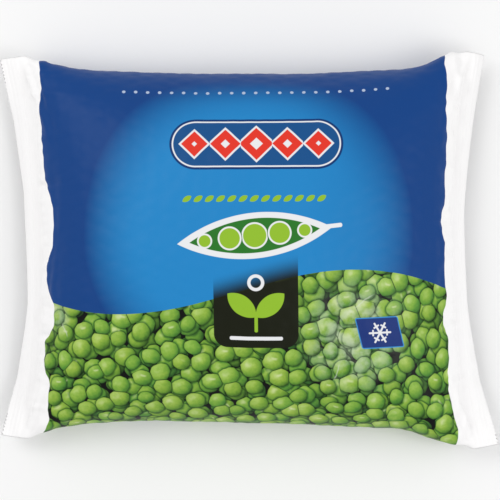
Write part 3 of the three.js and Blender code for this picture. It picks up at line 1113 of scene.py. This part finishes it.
def light_field(paint, x, y):
    """How much of the light blue shows at a place on the front."""
    up = y - GLOW_MIDDLE[1]
    up = paint.larger(up * GLOW_FLATNESS[0], up * -GLOW_FLATNESS[1])
    far = paint.length(x - GLOW_MIDDLE[0], up)
    inward = paint.smaller(paint.larger((GLOW_RADIUS - far) / GLOW_SOFT, 0.0), 1.0)
    glow = paint.math("SINE", inward * (math.pi / 2)) * paint.ramp(y, *GLOW_TOP)
    return glow * (1.0 - GLOW_DIM_SHARE * paint.ramp(x, *GLOW_DIM))


def print_edge(paint, x, around):
    """How far a place is outside the print, beyond its uneven ends."""
    edge = abs(x - PRINT_MIDDLE) - PRINT_LENGTH / 2
    for size, depth in EDGE_WAVES:
        edge = edge + depth * paint.sway(paint.vector(x * EDGE_STRETCH, around), size)
    for side, middle, reach, depth in EDGE_BULGES:
        bulge = paint.ramp(abs(around - middle), reach, reach * EDGE_FLAT)
        edge = edge + depth * bulge * paint.ramp(side * x, 0.0, 1.0)
    return edge


def film_print(paint, x, around):
    """The colour of the film at a place along it and a place round it."""
    back = paint.ramp(around, LAY_FLAT / 2 - TINY, LAY_FLAT / 2 + TINY)
    y = around + back * (LAY_FLAT - 2 * around)
    off_front = FAR_OFF * back
    glow = light_field(paint, x, y) * (1.0 - back)
    blue = paint.mix(glow, ink(*DARK_BLUE), ink(*LIGHT_BLUE))
    marks = dotted_rule(paint, x, y) + badge(paint, x, y) + garland(paint, x, y) + pod(paint, x, y)
    blue = on_field(paint, blue, marks, off_front)
    wave = WAVE_DEPTH * paint.math("SINE", (x - WAVE_START) * (2 * math.pi / WAVE_LENGTH))
    wave = wave + WAVE_HEIGHT + back * (BACK_WAVE_HEIGHT - WAVE_HEIGHT)
    # Painted glare and crease highlights over the printed peas.
    peas = painted_glare(paint, x, y, printed_peas(paint, x, y))
    colour = paint.mix(paint.ramp(y - wave, -WAVE_SOFT, WAVE_SOFT), peas, blue)
    tab_cover = paint.inside(paint.box(x, y, *TAB) + off_front) * paint.ramp(y - wave, *TAB_FADE)
    colour = paint.mix(tab_cover, colour, ink(*TAB_DARK))
    colour = on_field(paint, colour, sprout(paint, x, y) + tag(paint, x, y), off_front)
    seam = paint.inside(abs(y) - SEAM_WIDTH / 2 + FAR_OFF * (1.0 - back))
    bare = paint.ramp(print_edge(paint, x, around), -PRINT_SOFT, PRINT_SOFT)
    return paint.mix(paint.larger(bare, seam), colour, ink(*WHITE_FILM))


def printed_film():
    """The bag's film: print, gloss that is a little uneven, and fine creasing."""
    paint = Paint("printed_film")
    inputs = paint.shader.inputs
    x, around, _ = paint.parts(paint.value("ShaderNodeUVMap", "UV", {}, uv_map=FILM_MAP))
    x, around = x / MM, around / MM
    place = paint.vector(x, around)
    paint.feed(inputs["Base Color"], film_print(paint, x, around))
    rough = ROUGHNESS[0] + ROUGHNESS[1] * paint.noise(place, ROUGHNESS_SIZE, 3.0)
    paint.feed(inputs["Roughness"], rough)
    inputs["Specular IOR Level"].default_value = GLOSS
    creasing = {
        "Strength": FINE_CREASE_STRENGTH,
        "Distance": FINE_CREASE_HEIGHT * MM,
        "Height": paint.noise(place, FINE_CREASE_SIZE, 4.0)}
    paint.feed(inputs["Normal"], paint.value("ShaderNodeBump", "Normal", creasing))
    return paint.material


# The bag

film = filled_film()
shown, along, around = shown_film(film)
low = shown.min(axis=(1, 2))
high = shown.max(axis=(1, 2))
shown[0] -= (low[0] + high[0]) / 2
shown[1] -= (low[1] + high[1]) / 2
bag = film_mesh(shown, along, around)

bag.data.materials.append(printed_film())
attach(bag, "root")
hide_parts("bag")

# The studio, in metres and watts. The lights point at the middle of the bag, where the view's width holds.
FLOOR_SIZE = 6.0
FLOOR_WHITE = (0.9, 0.9, 0.9, 1)
FLOOR_ROUGHNESS = 0.8
SURROUND_STRENGTH = 0.7
LIGHT_SIZE = 1.0
LIGHTS = (("left_light", (-1.0, 0.7, 1.3), 8.8), ("right_light", (1.1, -0.4, 1.3), 8.2))
MIDDLE_HEIGHT = 0.02
CAMERA_HEIGHT = 1.3
CAMERA_SHIFT = (0.00065, 0.0001)
VIEW_WIDTH = 0.2755
SENSOR_WIDTH = 36.0

bpy.ops.mesh.primitive_plane_add(size=FLOOR_SIZE)
floor = bpy.context.object
floor.name = "floor"
paper = Paint("paper")
paper.shader.inputs["Base Color"].default_value = FLOOR_WHITE
paper.shader.inputs["Roughness"].default_value = FLOOR_ROUGHNESS
floor.data.materials.append(paper.material)

world = bpy.data.worlds.new("studio")
world.use_nodes = True
surround = world.node_tree.nodes["Background"].inputs
surround["Color"].default_value = (1, 1, 1, 1)
surround["Strength"].default_value = SURROUND_STRENGTH
bpy.context.scene.world = world

for name, place, power in LIGHTS:
    light = bpy.data.lights.new(name, "AREA")
    light.size = LIGHT_SIZE
    light.energy = power
    lamp = bpy.data.objects.new(name, light)
    lamp.location = place
    aim = Vector((0, 0, MIDDLE_HEIGHT)) - lamp.location
    lamp.rotation_euler = aim.to_track_quat("-Z", "Y").to_euler()
    bpy.context.collection.objects.link(lamp)

lens = bpy.data.cameras.new("camera")
lens.sensor_width = SENSOR_WIDTH
lens.lens = SENSOR_WIDTH * (CAMERA_HEIGHT - MIDDLE_HEIGHT) / VIEW_WIDTH
camera = bpy.data.objects.new("camera", lens)
camera.location = (*CAMERA_SHIFT, CAMERA_HEIGHT)
bpy.context.collection.objects.link(camera)
bpy.context.scene.camera = camera
bpy.context.scene.view_settings.view_transform = "Standard"
